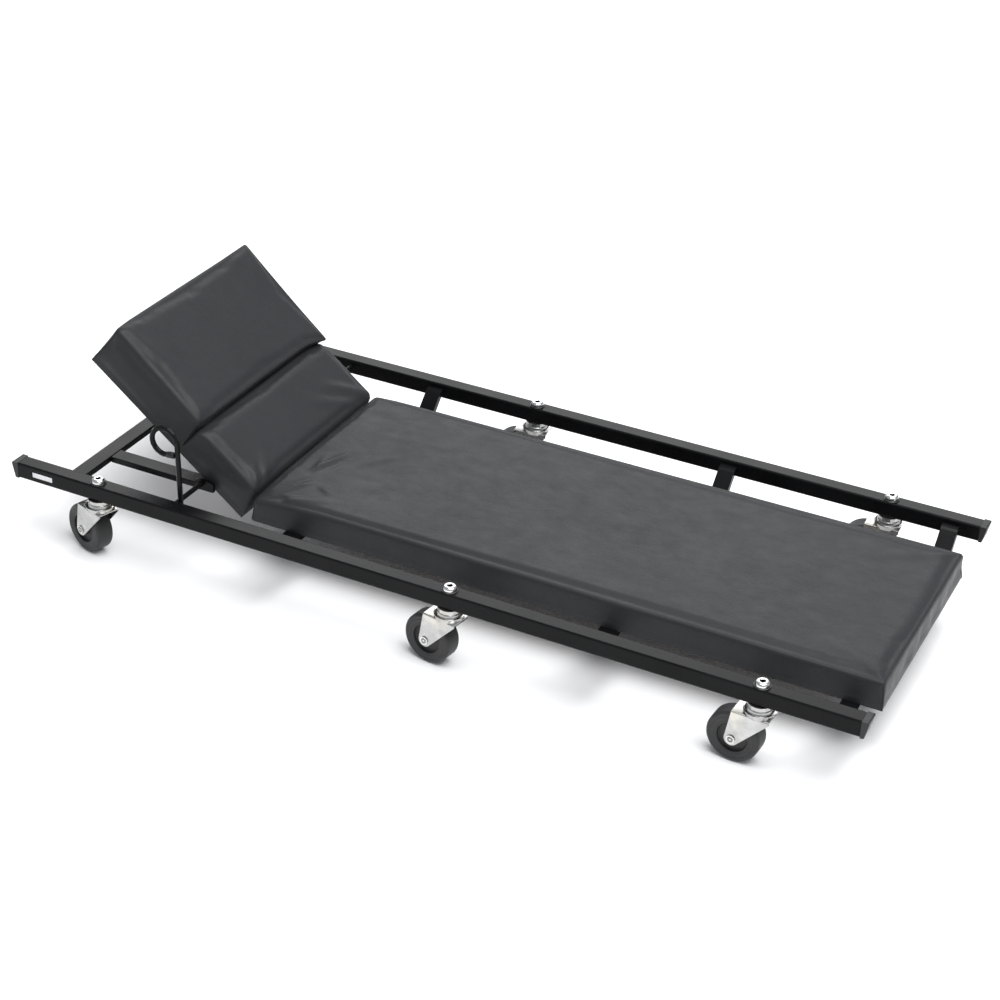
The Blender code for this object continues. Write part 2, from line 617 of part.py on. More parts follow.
# ---------------------------------------------------------------- headrest
def make_headrest(mats):
    """Board, creased pad and rod clips, built flat and tilted as one at the pivot axis.

    In the tilted empty, +X points to the foot along the board and +Z is w."""
    pivot = add_empty("headrest_pivot", (PIVOT_X, 0, PIVOT_Z), (0, TILT, 0))
    foot, crease, head = -HEADREST_FOOT_U, -HEADREST_CREASE_U, -HEADREST_HEAD_U
    head_top = BOARD_W + HEAD_THICKNESS
    head_foot_top = BOARD_W + HEAD_FOOT_THICKNESS
    floor = BOARD_W + BOARD_THICKNESS + CREASE_FLOOR
    corners = [(head, BOARD_W), (foot, BOARD_W), (foot, NECK_TOP_W),
               (crease + CREASE_TOP_WIDTH, NECK_TOP_W), (crease + CREASE_WIDTH, floor),
               (crease - CREASE_WIDTH, floor), (crease - CREASE_TOP_WIDTH, head_foot_top),
               (head, head_top)]
    soft = HEADREST_RADIUS
    make_pad("headrest", corners, [0, 0, soft, soft, 0, 0, soft, soft], HEADREST_WIDTH, mats,
             pivot)
    for name, y in (("near_rod_clip", -CLIP_Y), ("far_rod_clip", CLIP_Y)):
        add_object(name, prism(clip_outline(), y - CLIP_WIDTH / 2, y + CLIP_WIDTH / 2),
                   mats["zinc"], pivot)


def clip_outline():
    """Saddle under the rod with a flat tab on each side against the board."""
    inner, outer = WIRE_RADIUS + GAP, WIRE_RADIUS + GAP + CLIP_SHEET
    high = BOARD_W - GAP
    low = high - CLIP_SHEET
    outline = [(-CLIP_REACH, high), (-inner, high)]
    outline += arc((0, 0), inner, 180, 360, 8)
    outline += [(inner, high), (CLIP_REACH, high), (CLIP_REACH, low), (outer, low)]
    outline += arc((0, 0), outer, 0, -180, 8)
    outline += [(-outer, low), (-CLIP_REACH, low)]
    return outline


def make_lever(mats):
    """Hinge rod across the frame, with a wire lever welded on that ends in a finger loop."""
    rod_end = RAIL_INNER_Y + ROD_END
    pivot = Vector((PIVOT_X, 0, PIVOT_Z))
    rod = add_object("tilt_lever", cylinder(WIRE_RADIUS, -rod_end, rod_end, 12, "Y"), mats["wire"],
                     location=pivot)
    middle = Vector((LOOP_CENTRE[0], LOOP_CENTRE[1]))
    foot = Vector((LEVER_OFFSET, -WIRE_RADIUS / 2))
    # the leg runs straight from the rod to the loop, which turns over toward the head
    away = foot - middle
    start = math.degrees(math.atan2(away.y, away.x) + math.acos(LOOP_RADIUS / away.length))
    path = [foot] + [Vector(p) for p in arc(middle, LOOP_RADIUS, start, LOOP_END, 18)]
    path.append(path[-1] + Vector(LOOP_TIP))
    leg = tube([Vector((a, LEVER_Y, b)) for a, b in path], WIRE_RADIUS, 10)
    combine(rod, add_object("lever_leg", leg, location=pivot), "UNION")
    weld = bmesh.new()
    bmesh.ops.create_icosphere(weld, subdivisions=2, radius=WELD_RADIUS)
    combine(rod, add_object("lever_weld", weld,
                            location=pivot + Vector((LEVER_OFFSET / 2, LEVER_Y, 0))), "UNION")


# ---------------------------------------------------------------- the whole creeper
def build():
    clear_scene()
    mats = make_materials()
    near_xs = (-CASTER_X, CASTER_STAGGER, CASTER_X)
    far_xs = (-CASTER_X, -CASTER_STAGGER, CASTER_X)
    make_rail("near_rail", -1, near_xs, mats)
    make_rail("far_rail", 1, far_xs, mats)
    for end, end_name in ((-1, "head"), (1, "foot")):
        for side, side_name in ((-1, "near"), (1, "far")):
            make_end_cap(f"{side_name}_{end_name}_end_cap", end, side, mats)
    make_head_bars(mats)
    make_lug("near_pivot_lug", -1, mats)
    make_lug("far_pivot_lug", 1, mats)
    middle_x = FOOT_DROP_X - DROP_BAR_PITCH[1]
    make_drop_bar("head_drop_bar", middle_x - DROP_BAR_PITCH[0], mats)
    make_drop_bar("middle_drop_bar", middle_x, mats)
    make_drop_bar("foot_drop_bar", FOOT_DROP_X, mats)
    places = [(x, -RAIL_Y, yaw) for x, yaw in zip(near_xs, YAWS)]
    places += [(x, RAIL_Y, 360 - yaw) for x, yaw in zip(far_xs, YAWS)]
    for number, (x, y, yaw) in enumerate(places, 1):
        make_caster(number, x, y, yaw, mats)
    make_bed(mats)
    make_headrest(mats)
    make_lever(mats)


build()
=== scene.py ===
"""The looks of the mechanics creeper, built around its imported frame."""
import json
import math

import bmesh
import bpy
import numpy as np
from mathutils import Matrix, Vector


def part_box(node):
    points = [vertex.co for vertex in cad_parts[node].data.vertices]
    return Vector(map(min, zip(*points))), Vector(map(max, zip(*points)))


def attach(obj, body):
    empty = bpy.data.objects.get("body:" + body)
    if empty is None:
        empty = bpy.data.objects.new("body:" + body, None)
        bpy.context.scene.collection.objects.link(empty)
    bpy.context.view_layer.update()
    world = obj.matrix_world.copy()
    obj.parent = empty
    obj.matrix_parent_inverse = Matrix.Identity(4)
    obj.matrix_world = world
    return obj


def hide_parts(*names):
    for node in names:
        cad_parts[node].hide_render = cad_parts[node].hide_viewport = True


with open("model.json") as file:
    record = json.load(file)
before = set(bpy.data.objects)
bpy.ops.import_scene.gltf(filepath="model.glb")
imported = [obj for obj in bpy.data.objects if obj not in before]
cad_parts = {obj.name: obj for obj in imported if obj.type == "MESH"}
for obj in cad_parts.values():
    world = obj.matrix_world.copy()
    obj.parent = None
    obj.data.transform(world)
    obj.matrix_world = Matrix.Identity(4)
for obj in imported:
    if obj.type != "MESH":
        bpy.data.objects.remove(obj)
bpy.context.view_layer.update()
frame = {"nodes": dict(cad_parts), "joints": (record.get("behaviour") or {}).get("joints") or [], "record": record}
nodes = frame["nodes"]
joints = {j["name"]: j for j in frame["joints"]}
scene = bpy.context.scene

FLOOR_Z = 0.0
RAIL_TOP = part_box("near_rail")[1].z
CASTERS = range(1, 7)

# pads, in metres
EDGE_STEPS = (0.0, 0.0010, 0.0024, 0.0042, 0.0064, 0.0092)  # grid lines beside each edge
FINE_STEP = 0.0032          # between grid lines where a pad is finely creased
HEIGHT_STEP = 0.0045        # between grid lines up a pad's sides
CRISP_RADIUS = 0.0008       # rounding of a pad's upright edges at the board
FULL_ROUND_AT = 0.65        # share of a pad's height at which its rounding is full
CLOTH_FRAMES = 20
CLOTH_PRESSURE = 4.0
SINK_CAP = 0.0007           # how far the cloth may move inward
SLIDE_KEPT = 0.25           # share kept of its movement along its own surface,
SLIDE_CAP = 0.0008          # and the most of that
HEM_WIDTH = 0.022
SEAM_RADIUS = 0.0009
SEAM_REACH = 0.012          # how far outside a corner a seam starts looking for the pad
INSIDE_X = {"frame": 0.13, "headrest": -0.06}  # tells a pad's head end from its foot end

# casters, in metres
WHEEL_HALF_WIDTH = 0.011
WHEEL_BORE = 0.0034         # radius
SOCKET_HALF = 0.0024        # half the hex socket's width across its flats
SOCKET_DEPTH = 0.0026

# camera, solved from the photograph
CAMERA_ANGLES = (25.82, 30.79, 1.98)        # azimuth, elevation and roll in degrees
CAMERA_PLACE = (0.898, -1.847, 1.212)       # its height is above the rail tops
CAMERA_LENS, CAMERA_SENSOR = 76.57, 36.0    # millimetres


# ---------------------------------------------------------------- small helpers
def link(obj):
    scene.collection.objects.link(obj)
    return obj


def mesh_object(name, bm, mat, smooth=40, matrix=None):
    """A smooth-shaded object, with edges sharper than smooth degrees kept sharp."""
    bmesh.ops.recalc_face_normals(bm, faces=bm.faces)
    mesh = bpy.data.meshes.new(name)
    bm.to_mesh(mesh)
    bm.free()
    mesh.shade_smooth()
    mesh.set_sharp_from_angle(angle=math.radians(smooth))
    if matrix is not None:
        mesh.transform(matrix)
    mesh.materials.append(mat)
    return link(bpy.data.objects.new(name, mesh))


def revolve(profile, steps, closed=False):
    """Turn (radius, height) points about Z; a radius of 0 makes a pole."""
    bm = bmesh.new()
    rings = []
    for radius, height in profile:
        count = 1 if radius == 0 else steps
        rings.append([bm.verts.new((radius * math.cos(2 * math.pi * i / steps),
                                    radius * math.sin(2 * math.pi * i / steps), height))
                      for i in range(count)])
    pairs = list(zip(rings, rings[1:]))
    if closed:
        pairs.append((rings[-1], rings[0]))
    for a, b in pairs:
        for i in range(steps):
            j = (i + 1) % steps
            face = [a[i % len(a)], a[j % len(a)], b[j % len(b)], b[i % len(b)]]
            bm.faces.new(list(dict.fromkeys(face)))
    return bm


def tube(path, radii, sides):
    """A round wire along 3-D points, with a radius at each and closed ends."""
    bm = bmesh.new()
    rings = []
    side = None
    for i, point in enumerate(path):
        ahead = (path[min(i + 1, len(path) - 1)] - path[max(i - 1, 0)]).normalized()
        if side is None:
            side = ahead.orthogonal().normalized()
        side = (side - ahead * side.dot(ahead)).normalized()
        other = ahead.cross(side)
        rings.append([bm.verts.new(point + (side * math.cos(2 * math.pi * k / sides)
                                            + other * math.sin(2 * math.pi * k / sides)) * radii[i])
                      for k in range(sides)])
    for a, b in zip(rings, rings[1:]):
        for k in range(sides):
            j = (k + 1) % sides
            bm.faces.new((a[k], a[j], b[j], b[k]))
    bm.faces.new(rings[0])
    bm.faces.new(rings[-1])
    return bm


def box_mesh(low, high, bevel):
    bm = bmesh.new()
    bmesh.ops.create_cube(bm, size=1.0)
    size = Vector(high) - Vector(low)
    middle = (Vector(high) + Vector(low)) / 2
    bmesh.ops.scale(bm, verts=bm.verts, vec=size)
    bmesh.ops.translate(bm, verts=bm.verts, vec=middle)
    bmesh.ops.bevel(bm, geom=bm.edges, offset=bevel, segments=1, affect="EDGES")
    return bm


def middle_xy(low, high):
    return (low.x + high.x) / 2, (low.y + high.y) / 2


def along_axis(centre, axis):
    """Puts a revolved shape at centre, with its own Z along axis."""
    return Matrix.Translation(centre) @ axis.to_track_quat("Z", "Y").to_matrix().to_4x4()


# ---------------------------------------------------------------- materials
class Nodes:
    """Short-hand for building one material's node tree."""

    def __init__(self, name):
        self.mat = bpy.data.materials.new(name)
        self.mat.use_nodes = True
        self.tree = self.mat.node_tree
        self.shader = self.tree.nodes["Principled BSDF"]
        self.coords = self.tree.nodes.new("ShaderNodeTexCoord").outputs["Object"]

    def add(self, kind, inputs=None, **settings):
        node = self.tree.nodes.new(kind)
        for key, value in settings.items():
            setattr(node, key, value)
        for key, value in (inputs or {}).items():
            if isinstance(value, bpy.types.NodeSocket):
                self.tree.links.new(value, node.inputs[key])
            else:
                node.inputs[key].default_value = value
        return node

    def noise(self, scale, detail=4.0, rough=0.55, coords=None):
        return self.add("ShaderNodeTexNoise", {"Vector": coords or self.coords, "Scale": scale,
                                               "Detail": detail, "Roughness": rough}).outputs["Fac"]

    def stretched(self, scale):
        return self.add("ShaderNodeMapping", {"Vector": self.coords, "Scale": scale}).outputs[0]

    def spread(self, value, low, high, start=0.3, end=0.7):
        """Map a noise value's usual range onto low to high."""
        return self.add("ShaderNodeMapRange", {"Value": value, "From Min": start, "From Max": end,
                                               "To Min": low, "To Max": high}).outputs[0]

    def mix(self, factor, first, second):
        node = self.add("ShaderNodeMix", data_type="RGBA")
        self.tree.links.new(factor, node.inputs["Factor"])
        for socket, value in ((node.inputs["A"], first), (node.inputs["B"], second)):
            if isinstance(value, bpy.types.NodeSocket):
                self.tree.links.new(value, socket)
            else:
                socket.default_value = (*value, 1.0)
        return node.outputs["Result"]

    def bump(self, height, distance, strength=1.0, normal=None):
        inputs = {"Height": height, "Distance": distance, "Strength": strength}
        if normal:
            inputs["Normal"] = normal
        return self.add("ShaderNodeBump", inputs).outputs["Normal"]

    def finish(self, colour, roughness, normal=None, metallic=0.0, specular=0.5, coat=0.0,
               coat_roughness=0.1, sheen=0.0, sheen_roughness=0.5):
        links, inputs = self.tree.links, self.shader.inputs
        for key, value in (("Base Color", colour), ("Roughness", roughness), ("Normal", normal)):
            if isinstance(value, bpy.types.NodeSocket):
                links.new(value, inputs[key])
            elif value is not None:
                inputs[key].default_value = (*value, 1.0) if key == "Base Color" else value
        inputs["Metallic"].default_value = metallic
        inputs["Specular IOR Level"].default_value = specular
        inputs["Coat Weight"].default_value = coat
        inputs["Coat Roughness"].default_value = coat_roughness
        inputs["Sheen Weight"].default_value = sheen
        inputs["Sheen Roughness"].default_value = sheen_roughness
        return self.mat


def vinyl_material():
    """Soft black upholstery vinyl: pebbled grain, faint creases, a dull sheen."""
    n = Nodes("vinyl_grain")
    cells = n.add("ShaderNodeTexVoronoi", {"Vector": n.coords, "Scale": 750.0, "Randomness": 0.9},
                  feature="SMOOTH_F1").outputs["Distance"]
    fine = n.noise(1500.0, 3.0)
    creases = n.noise(38.0, 5.0, 0.6, n.stretched((1.0, 1.6, 1.0)))
    broad = n.noise(7.0, 2.0)
    dusty = n.noise(90.0, 6.0, 0.7)
    colour = n.mix(n.spread(broad, 0.0, 1.0), (0.0200, 0.0206, 0.0230), (0.0245, 0.0252, 0.0278))
    colour = n.mix(n.spread(dusty, 0.0, 0.35, 0.45, 0.75), colour, (0.028, 0.028, 0.030))
    colour = n.mix(n.spread(cells, 0.0, 0.30, 0.2, 0.8), colour, (0.011, 0.011, 0.012))
    rough = n.spread(creases, 0.42, 0.54)
    normal = n.bump(creases, 0.0012, 0.25)
    normal = n.bump(cells, 0.00022, 0.55, normal)
    normal = n.bump(fine, 0.00008, 0.4, normal)
    return n.finish(colour, rough, normal, specular=0.20, sheen=0.02, sheen_roughness=0.4)


def powder_coat_material(name, base, rough):
    """Gloss black powder coat with a slight orange peel, rubbed thinner here and there."""
    n = Nodes(name)
    peel = n.noise(420.0, 2.0)
    broad = n.noise(11.0, 3.0)
    specks = n.noise(260.0, 6.0, 0.75)
    lighter = tuple(c * 1.7 + 0.002 for c in base)
    colour = n.mix(n.spread(broad, 0.0, 1.0), base, lighter)
    colour = n.mix(n.spread(specks, 0.0, 0.4, 0.66, 0.78), colour, (0.03, 0.03, 0.032))
    roughness = n.spread(broad, rough * 0.85, rough * 1.2)
    normal = n.bump(peel, 0.00012, 0.35)
    return n.finish(colour, roughness, normal, specular=0.10, coat=0.02, coat_roughness=0.12)


def plated_material(name, bright, dull, rough, tint=(0.86, 0.80, 0.66)):
    """Zinc-plated steel: soft brushed lines, cloudy patches and a faint warm tint."""
    n = Nodes(name)
    cloud = n.noise(55.0, 5.0, 0.6)
    brushed = n.noise(120.0, 4.0, 0.6, n.stretched((1.0, 1.0, 14.0)))
    warm = n.noise(34.0, 2.0)
    colour = n.mix(n.spread(cloud, 0.0, 1.0), bright, dull)
    colour = n.mix(n.spread(warm, 0.0, 0.35, 0.5, 0.7), colour, tint)
    roughness = n.spread(brushed, rough * 0.8, rough * 1.3)
    normal = n.bump(brushed, 0.00006, 0.5)
    normal = n.bump(cloud, 0.0002, 0.25, normal)
    return n.finish(colour, roughness, normal, metallic=1.0)


def moulded_material(name, base, rough, grain=600.0):
    """Moulded black plastic with a fine spark-eroded texture and light scuffs."""
    n = Nodes(name)
    texture = n.noise(grain, 3.0)
    broad = n.noise(30.0, 4.0, 0.6)
    scuffs = n.noise(140.0, 8.0, 0.8)
    lighter = tuple(c * 1.5 + 0.003 for c in base)
    colour = n.mix(n.spread(broad, 0.0, 1.0), base, lighter)
    colour = n.mix(n.spread(scuffs, 0.0, 0.35, 0.6, 0.75), colour, (0.075, 0.075, 0.075))
    roughness = n.spread(broad, rough * 0.85, rough * 1.15)
    normal = n.bump(texture, 0.00012, 0.4)
    return n.finish(colour, roughness, normal, specular=0.4)


def board_material():
    """Dark stained fibreboard with short pressed fibres."""
    n = Nodes("fibreboard")
    fibres = n.noise(220.0, 6.0, 0.7, n.stretched((1.0, 0.35, 1.0)))
    broad = n.noise(9.0, 3.0)
    colour = n.mix(n.spread(fibres, 0.0, 1.0), (0.050, 0.036, 0.026), (0.100, 0.070, 0.047))
    colour = n.mix(n.spread(broad, 0.0, 0.4), colour, (0.040, 0.028, 0.020))
    return n.finish(colour, n.spread(fibres, 0.7, 0.9), n.bump(fibres, 0.0003, 0.5), specular=0.2)


def foam_material():
    n = Nodes("foam_cells")
    cells = n.add("ShaderNodeTexVoronoi", {"Vector": n.coords, "Scale": 700.0}).outputs["Distance"]
    colour = n.mix(n.spread(cells, 0.0, 1.0, 0.1, 0.8), (0.52, 0.45, 0.26), (0.68, 0.62, 0.42))
    return n.finish(colour, 0.95, n.bump(cells, 0.0006, 0.7), specular=0.1)


def floor_material():
    n = Nodes("studio_floor")
    broad = n.noise(1.3, 2.0)
    colour = n.mix(n.spread(broad, 0.0, 1.0), (0.93, 0.93, 0.93), (0.95, 0.95, 0.95))
    return n.finish(colour, 0.9, specular=0.0)


VINYL = vinyl_material()
COAT = powder_coat_material("black_powder_coat", (0.0026, 0.0027, 0.0030), 0.27)
WIRE = powder_coat_material("black_wire_coat", (0.0040, 0.0040, 0.0042), 0.22)
ZINC = plated_material("zinc_plate", (0.52, 0.52, 0.51), (0.36, 0.36, 0.355), 0.28)
BRIGHT = plated_material("bright_plate", (0.70, 0.70, 0.69), (0.58, 0.58, 0.575), 0.16,
                         (0.66, 0.65, 0.62))
# near-black steel: painted shade, for the socket pits and for the washers' dark ring under each bolt head
PAINTED_SHADE_STEEL = plated_material("painted_shade_steel", (0.10, 0.10, 0.10), (0.05, 0.05, 0.05), 0.40,
                             (0.08, 0.08, 0.08))
DARK_ZINC = plated_material("axle_zinc", (0.30, 0.30, 0.30), (0.18, 0.18, 0.18), 0.32,
                            (0.26, 0.25, 0.22))
PLASTIC = moulded_material("black_plastic_cap", (0.0060, 0.0060, 0.0062), 0.42)
WHEEL = moulded_material("wheel_charcoal", (0.0150, 0.0150, 0.0155), 0.50, 380.0)
BOARD = board_material()
FOAM = foam_material()
LABEL = moulded_material("blank_label_film", (0.55, 0.55, 0.56), 0.45, 900.0)
SLOTS = {"black_steel": COAT, "wire": WIRE, "zinc": ZINC, "bright_zinc": BRIGHT,
         "black_plastic": PLASTIC, "wheel": WHEEL, "vinyl": VINYL, "foam": FOAM, "board": BOARD}


def dress_cad_nodes():
    """Give every CAD node its slot's material; the caster spacers are zinc-plated."""
    slot_of = {s["node"]: s["material_slot"] for s in frame["record"]["subparts"]}
    for name, obj in nodes.items():
        obj.data.materials.clear()
        spacer = name.startswith("caster_spacer")
        obj.data.materials.append(ZINC if spacer else SLOTS[slot_of[name]])


# ---------------------------------------------------------------- soft pads
def stations(start, end, step, fine=0.0):
    """Positions from start to end, closer near both ends and over a fine first stretch."""
    head = [start + d for d in EDGE_STEPS]
    head += [head[-1] + FINE_STEP * (i + 1) for i in range(round(fine / FINE_STEP))]
    last = end - EDGE_STEPS[-1]
    inner = max(2, round((last - head[-1]) / step))
    middle = np.linspace(head[-1], last, inner + 1)
    return np.array(head[:-1] + list(middle) + [end - d for d in reversed(EDGE_STEPS[:-1])])


def pad_blank(name, low, high, radii, step, fine=0.0):
    """A fine grid over a block whose top and upright edges are rounded.

    radii(x, y, z) gives the rounding radius at a point.  It fades toward the bottom,
    whose edges stay crisp around the board.
    """
    axes = [stations(low[0], high[0], step, fine), stations(low[1], high[1], step, fine * 0.7),
            stations(low[2], high[2], HEIGHT_STEP)]
    counts = [len(a) for a in axes]
    bm = bmesh.new()
    made = {}

    def corner(i, j, k):
        if (i, j, k) not in made:
            made[i, j, k] = bm.verts.new((axes[0][i], axes[1][j], axes[2][k]))
        return made[i, j, k]

    for axis in range(3):
        u, v = [n for n in range(3) if n != axis]
        for end in (0, counts[axis] - 1):
            for i in range(counts[u] - 1):
                for j in range(counts[v] - 1):
                    loop = []
                    for du, dv in ((0, 0), (1, 0), (1, 1), (0, 1)):
                        index = [0, 0, 0]
                        index[axis], index[u], index[v] = end, i + du, j + dv
                        loop.append(corner(*index))
                    bm.faces.new(loop)
    for vert in bm.verts:
        level = min(1.0, max(0.0, (vert.co.z - low[2]) / (FULL_ROUND_AT * (high[2] - low[2]))))
        r = CRISP_RADIUS + (radii(*vert.co) - CRISP_RADIUS) * level ** 1.5
        core = Vector((min(max(vert.co.x, low[0] + r), high[0] - r),
                       min(max(vert.co.y, low[1] + r), high[1] - r),
                       min(vert.co.z, high[2] - r)))
        out = vert.co - core
        if out.length > 1e-9 and vert.co.z > low[2] + 1e-6:
            vert.co = core + out.normalized() * r
        elif out.length > 1e-9:
            flat = Vector((out.x, out.y, 0))
            if flat.length > 1e-9:
                vert.co = core + flat.normalized() * r
    return mesh_object(name, bm, VINYL)


def coordinates(mesh):
    co = np.zeros(len(mesh.vertices) * 3)
    mesh.vertices.foreach_get("co", co)
    return co.reshape(-1, 3)


def normals(mesh):
    out = np.zeros(len(mesh.vertices) * 3)
    mesh.vertex_normals.foreach_get("vector", out)
    return out.reshape(-1, 3)


def set_coordinates(mesh, co):
    mesh.vertices.foreach_set("co", co.ravel())
    mesh.update()


def apply_modifiers(obj):
    graph = bpy.context.evaluated_depsgraph_get()
    mesh = bpy.data.meshes.new_from_object(obj.evaluated_get(graph))
    obj.modifiers.clear()
    old = obj.data
    obj.data = mesh
    bpy.data.meshes.remove(old)


def inflate(obj, cap, held):
    """Blow the cover up a little as cloth; its faces crown but its corners keep their shape."""
    start, out = coordinates(obj.data), normals(obj.data)
    group = obj.vertex_groups.new(name="held")
    group.add([int(i) for i in np.nonzero(held(start))[0]], 1.0, "REPLACE")
    cloth = obj.modifiers.new("cloth", "CLOTH")
    cloth.settings.quality = 4
    cloth.settings.mass = 0.3
    cloth.settings.tension_stiffness = 20
    cloth.settings.compression_stiffness = 20
    cloth.settings.bending_stiffness = 1.0
    cloth.settings.use_pressure = True
    cloth.settings.uniform_pressure_force = CLOTH_PRESSURE
    cloth.settings.vertex_group_mass = "held"
    cloth.settings.effector_weights.gravity = 0.0
    cloth.collision_settings.use_collision = False
    cloth.point_cache.frame_start = 1
    cloth.point_cache.frame_end = CLOTH_FRAMES
    for step in range(1, CLOTH_FRAMES + 1):
        scene.frame_set(step)
    graph = bpy.context.evaluated_depsgraph_get()
    swollen = coordinates(obj.evaluated_get(graph).data)
    obj.modifiers.clear()
    move = swollen - start
    outward = (move * out).sum(axis=1, keepdims=True)
    along = (move - outward * out) * SLIDE_KEPT
    length = np.linalg.norm(along, axis=1, keepdims=True)
    along *= np.minimum(1.0, SLIDE_CAP / np.maximum(length, 1e-9))
    set_coordinates(obj.data, start + out * np.clip(outward, -SINK_CAP, cap) + along)
    scene.frame_set(1)


def hem(co, low, high, underside):
    """The cover wraps under the board's rim and leaves its middle bare."""
    bottom = co[:, 2] < low[2] + 1e-5
    inside = np.minimum(np.minimum(co[:, 0] - low[0], high[0] - co[:, 0]),
                        np.minimum(co[:, 1] - low[1], high[1] - co[:, 1]))
    ragged = HEM_WIDTH + 0.0022 * np.sin(co[:, 0] * 61.0) + 0.0018 * np.sin(co[:, 1] * 83.0 + 1.0)
    co[bottom, 2] = np.where(inside[bottom] > ragged[bottom], underside + 0.0016,
                             underside - 0.0008)


def fold(co, up, start, end, height, width):
    """Height of one soft ridge (or valley) that fades toward both of its ends."""
    start, end = np.array(start), np.array(end)
    along = end - start
    t = np.clip(((co[:, :2] - start) @ along) / (along @ along), 0, 1)
    near = start + t[:, None] * along
    distance = np.linalg.norm(co[:, :2] - near, axis=1)
    fade = np.sin(np.pi * np.clip(0.08 + 0.84 * t, 0, 1))
    return height * np.exp(-((distance / width) ** 2)) * fade * up


def ridged(co, up, ridges, origin=0.0):
    """Height of a whole table of ridges, whose x values count from origin."""
    shift = np.zeros(len(co))
    for start, end, height, width in ridges:
        shift += fold(co, up, (origin + start[0], start[1]), (origin + end[0], end[1]),
                      height, width)
    return shift


def finish_pad(obj, body, matrix, replaced):
    obj.data.transform(matrix)
    smooth = obj.modifiers.new("surface", "SUBSURF")
    smooth.levels = smooth.render_levels = 1
    apply_modifiers(obj)
    obj.data.shade_smooth()
    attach(obj, body)
    if replaced:
        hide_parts(*replaced)


# Soft ridges and valleys: start, end, height and width.  The bed's are (distance from its
# head end, y); the headrest's are (x, y) in its own flat frame.
BED_RIDGES = (
    ((0.008, -0.136), (0.046, -0.086), 0.0036, 0.0038),
    ((0.014, -0.122), (0.042, -0.076), -0.0016, 0.0042),
    ((0.016, -0.136), (0.092, -0.112), 0.0016, 0.0050),
    ((0.033, -0.062), (0.048, -0.010), 0.0030, 0.0034),
    ((0.040, -0.060), (0.054, -0.020), -0.0014, 0.0034),
    ((0.038, -0.064), (0.029, -0.026), 0.0022, 0.0032),
    ((0.058, -0.088), (0.078, -0.100), 0.0022, 0.0034),
    ((0.068, -0.030), (0.108, 0.020), 0.0014, 0.0070),
    ((0.010, 0.122), (0.110, 0.070), 0.0007, 0.0090),
    ((0.730, -0.126), (0.646, -0.090), 0.0010, 0.0080),
    ((0.730, 0.126), (0.656, 0.085), 0.0010, 0.0080),
)
NECK_RIDGES = (
    ((0.046, -0.124), (0.024, -0.114), 0.0030, 0.0040),
    ((0.047, -0.106), (0.022, -0.088), 0.0022, 0.0048),
    ((0.047, -0.116), (0.027, -0.102), -0.0024, 0.0036),
    ((0.046, 0.122), (0.005, 0.075), 0.0026, 0.0055),
    ((0.046, 0.110), (0.012, 0.055), -0.0012, 0.0055),
    ((0.044, 0.100), (0.010, 0.035), 0.0014, 0.0080),
)
HEAD_RIDGES = (
    ((-0.052, -0.124), (-0.075, -0.116), 0.0012, 0.0050),
    ((-0.176, 0.122), (-0.130, 0.095), 0.0008, 0.0070),
    ((-0.176, -0.122), (-0.120, -0.105), 0.0008, 0.0070),
)


def make_bed_pad():
    low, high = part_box("bed_cover")
    rise = high.z - low.z
    start = (low.x + 0.0004, low.y + 0.0008, low.z)
    end = (high.x - 0.0006, high.y - 0.0008, high.z - 0.0010)

    def radii(x, y, z):
        return 0.0052 + 0.0030 * max(0.0, 1 - (x - low.x) / 0.03)

    pad = pad_blank("bed_pad", start, end, radii, 0.0060, fine=0.110)
    inflate(pad, 0.0024, lambda co: co[:, 2] < low.z + 0.009)
    co = coordinates(pad.data)
    up = np.clip((co[:, 2] - low.z - 0.6 * rise) / (0.4 * rise), 0, 1)
    x0, x1, y0, y1 = low.x, high.x, low.y, high.y
    co[:, 2] += ridged(co, up, BED_RIDGES, x0)
    # the near head corner is drawn down, and the rest of the head end a little
    head = np.clip(1 - (co[:, 0] - x0) / 0.105, 0, 1) ** 2
    corner = np.clip((-co[:, 1] - 0.055) / 0.085, 0, 1) ** 2
    level = np.clip((co[:, 2] - low.z) / rise, 0, 1)
    co[:, 2] -= level * head * (0.0012 + 0.0066 * corner)
    co[:, 0] -= 0.0022 * level * head ** 3
    # slack in the side panels, and gathered folds at the foot end
    side = np.exp(-((np.abs(co[:, 1]) - y1) / 0.006) ** 2)
    middle = np.exp(-((co[:, 2] - low.z - 0.45 * rise) / (0.3 * rise)) ** 2)
    co[:, 1] += np.sign(co[:, 1]) * side * middle * 0.0008 * np.sin(co[:, 0] * 31.0 + 1.3)
    foot = np.exp(-((co[:, 0] - x1) / 0.006) ** 2) * middle
    co[:, 0] += foot * 0.0010 * np.sin(co[:, 1] * 85.0 + 3.0 * np.sin(co[:, 1] * 23.0))
    hem(co, start, end, low.z)
    set_coordinates(pad.data, co)
    finish_pad(pad, "frame", Matrix(), ["bed_cover", "bed_foam"])
    for tag, x, y in (("near_head", x0, y0), ("far_head", x0, y1), ("near_foot", x1, y0),
                      ("far_foot", x1, y1)):
        upright_seam(f"bed_seam_{tag}", pad, "frame", Matrix(), x, y, low.z, high.z - 0.003)


def headrest_matrix():
    tilt = joints["headrest_tilt"]
    return (Matrix.Translation(tilt["pos_m"])
            @ Matrix.Rotation(math.radians(-tilt["range_deg"][0]), 4, "Y"))


HEADREST = headrest_matrix()
CREASE_X = -0.045           # in the headrest's own flat frame, +X toward the foot


def local_points(name):
    """A headrest node's points in the headrest's own flat frame."""
    inverse = np.array(HEADREST.inverted())
    return coordinates(nodes[name].data) @ inverse[:3, :3].T + inverse[:3, 3]


